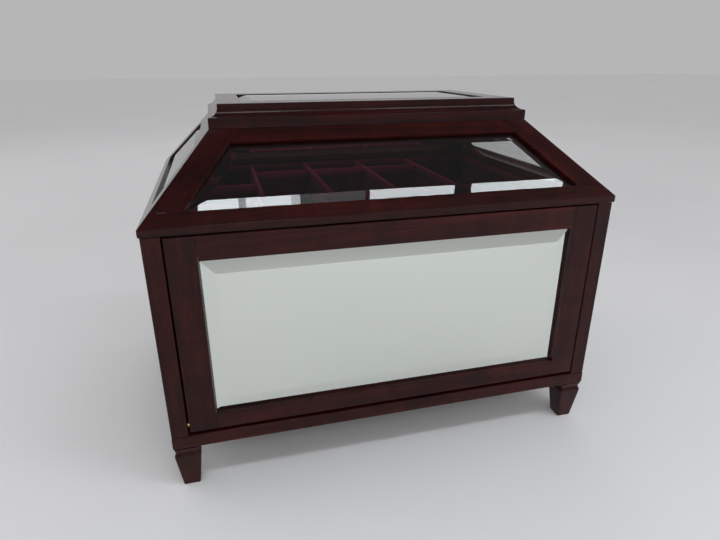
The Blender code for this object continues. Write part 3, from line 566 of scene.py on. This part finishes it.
def add_prism(bm, outline, at, side, ahead, up, base, top, chamfer):
    """Closed prism on an outline, with a narrow chamfer round its top."""
    centre = Vector((sum(p[0] for p in outline), sum(p[1] for p in outline))) / len(outline)
    loops = []
    for height, shrink in ((base, 0.0), (top - chamfer, 0.0), (top, chamfer)):
        ring = []
        for u, v in outline:
            pull = (centre - Vector((u, v))).normalized() * shrink
            ring.append(at + side * (u + pull.x) + ahead * (v + pull.y) + up * height)
        loops.append(ring)
    close_rings(bm, loops)


def add_screw(bm, at, up, ahead, turn, radius=SCREW, proud=0.16 * MM):
    """Slotted head: a disc, and two half discs on it with the slot between them."""
    side = ahead.cross(up)
    a, b = side * cos(turn) + ahead * sin(turn), ahead * cos(turn) - side * sin(turn)
    disc = [(radius * cos(2 * pi * i / 28), radius * sin(2 * pi * i / 28)) for i in range(28)]
    add_prism(bm, disc, at, a, b, up, -0.5 * MM, -0.02 * MM, 0.01 * MM)
    for sign in (-1, 1):
        start = SLOT / radius
        arc = [start + (pi - 2 * start) * i / 14 for i in range(15)]
        half = [(radius * 0.985 * cos(t), sign * radius * 0.985 * sin(t)) for t in arc]
        add_prism(bm, half, at, a, b, up, -0.2 * MM, proud, 0.12 * MM)


def hinge_screws(metal):
    for side in ("left", "right"):
        low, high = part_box("hinge_case_leaf_" + side)
        leaf_y = low.y + 4.2 * MM
        middle_x = (low.x + high.x) / 2
        faces = {"case": (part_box("back_panel")[1].z, Z), "lid": (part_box("lid_base_back")[0].z, -Z)}
        for body, (z, up) in faces.items():
            bm = bmesh.new()
            for step in (-1, 0, 1):
                at = Vector((middle_x + step * 12 * MM, leaf_y, z))
                add_screw(bm, at, up, Y, 0.7 + 1.9 * step + (0.4 if side == "left" else 1.3))
            piece = new_piece(f"hinge_screws_{body}_{side}", bm, body, metal)
            piece.data.shade_flat()


def mirror_clips(metal):
    """Small plates screwed to the back of the drop front, over the edge of the backing board."""
    low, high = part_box("mirror_backing")
    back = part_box("door_stile_left")[1].y
    spots = []
    for x in (-0.62, 0.0, 0.62):
        spots += [(Vector((x * high.x, back, high.z)), Z), (Vector((x * high.x, back, low.z)), -Z)]
    middle_z = (low.z + high.z) / 2
    spots += [(Vector((high.x, back, middle_z)), X), (Vector((low.x, back, middle_z)), -X)]
    bm = bmesh.new()
    for number, (at, out) in enumerate(spots):
        side = out.cross(Y)
        plate = [(-3.2, -3.4), (3.2, -3.4), (3.2, 6.5), (2.2, 7.5), (-2.2, 7.5), (-3.2, 6.5)]
        plate = [(u * MM, v * MM) for u, v in plate]
        add_prism(bm, plate, at, side, out, Y, 0.02 * MM, 0.5 * MM, 0.12 * MM)
        add_screw(bm, at + out * 3.2 * MM + Y * 0.5 * MM, Y, out, 0.5 + 1.1 * number, 1.7 * MM, 0.22 * MM)
    piece = new_piece("mirror_clips", bm, "drop_front", metal)
    piece.data.shade_flat()


# ---------------------------------------------------------------- stage
FLOOR_SIZE = 12.0


def make_stage():
    bm = bmesh.new()
    bmesh.ops.create_grid(bm, x_segments=8, y_segments=8, size=FLOOR_SIZE)
    mesh = bpy.data.meshes.new("floor")
    bm.to_mesh(mesh)
    bm.free()
    floor = bpy.data.objects.new("floor", mesh)
    mesh.materials.append(paper("floor_paper", (0.94, 0.935, 0.95), (0.87, 0.865, 0.88), 0.35, 3.2))
    scene.collection.objects.link(floor)


def area(name, at, size, power, colour=(1, 1, 1), aim=(0, 0, 0.15)):
    data = bpy.data.lights.new(name, "AREA")
    data.shape = "RECTANGLE"
    data.size, data.size_y = size
    data.energy = power
    data.color = colour
    lamp = bpy.data.objects.new(name, data)
    lamp.matrix_world = (Matrix.Translation(at)
                         @ (Vector(aim) - Vector(at)).to_track_quat("-Z", "Y").to_matrix().to_4x4())
    scene.collection.objects.link(lamp)
    return lamp


def make_world():
    world = bpy.data.worlds.new("studio")
    world.use_nodes = True
    tree = world.node_tree
    back = tree.nodes["Background"]
    place = tree.nodes.new("ShaderNodeTexCoord")
    split = tree.nodes.new("ShaderNodeSeparateXYZ")
    ramp = tree.nodes.new("ShaderNodeValToRGB")
    tree.links.new(place.outputs["Generated"], split.inputs[0])
    tree.links.new(split.outputs["Z"], ramp.inputs[0])
    tree.links.new(ramp.outputs[0], back.inputs[0])
    elements = ramp.color_ramp.elements
    elements.new(0.5)
    for element, (at, colour) in zip(elements, ((0.12, (0.47, 0.465, 0.475)), (0.42, (0.30, 0.295, 0.30)),
                                                (0.85, (0.10, 0.10, 0.10)))):
        element.position = at
        element.color = (*colour, 1)
    scene.world = world


def unseen(thing):
    """Lights or shades the scene without showing up in glass, mirrors or polish."""
    thing.visible_camera = False
    thing.visible_glossy = False
    thing.visible_transmission = False


def make_lights():
    unseen(area("ceiling_light", (0, 0, 3.2), (60, 60), 3600))
    unseen(area("front_fill", (-0.2, -1.9, 0.7), (2.4, 0.9), 4.5))
    unseen(area("floor_light", (0.2, -1.45, 1.1), (2.0, 0.5), 5.0, aim=(0.2, -1.45, 0)))
    daylight = (0.93, 1.0, 1.03)
    for name, x, long, power in (("tube_1", -0.155, 0.130, 1.10), ("tube_2", -0.0775, 0.025, 0.07),
                                 ("tube_3", 0.010, 0.150, 1.20), ("tube_4", 0.100, 0.030, 0.14),
                                 ("tube_5", 0.230, 0.230, 0.12), ("tube_6", 0.520, 0.320, 2.00),
                                 ("tube_7", 0.940, 0.385, 2.40)):
        area(name, (x, -0.73, 1.50), (long, 0.16), power, daylight, aim=(x, -0.73, 0))
    area("left_lamp", (-1.5, 0.6, 1.3), (1.2, 1.0), 5.0)
    area("right_lamp", (1.5, -0.9, 1.2), (1.0, 0.8), 2.0)
    area("back_lamp", (0.2, 1.6, 1.5), (1.4, 0.8), 3.0)


make_camera()
make_world()
make_lights()
make_stage()
dress_nodes()
line_tray(velvet("velvet_tray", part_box("tray_divider_1")[1].z))
line_lower(velvet("velvet_lower"))
fittings = brass("brass_screws")
hinge_screws(fittings)
mirror_clips(fittings)
scene.view_settings.view_transform = "Standard"
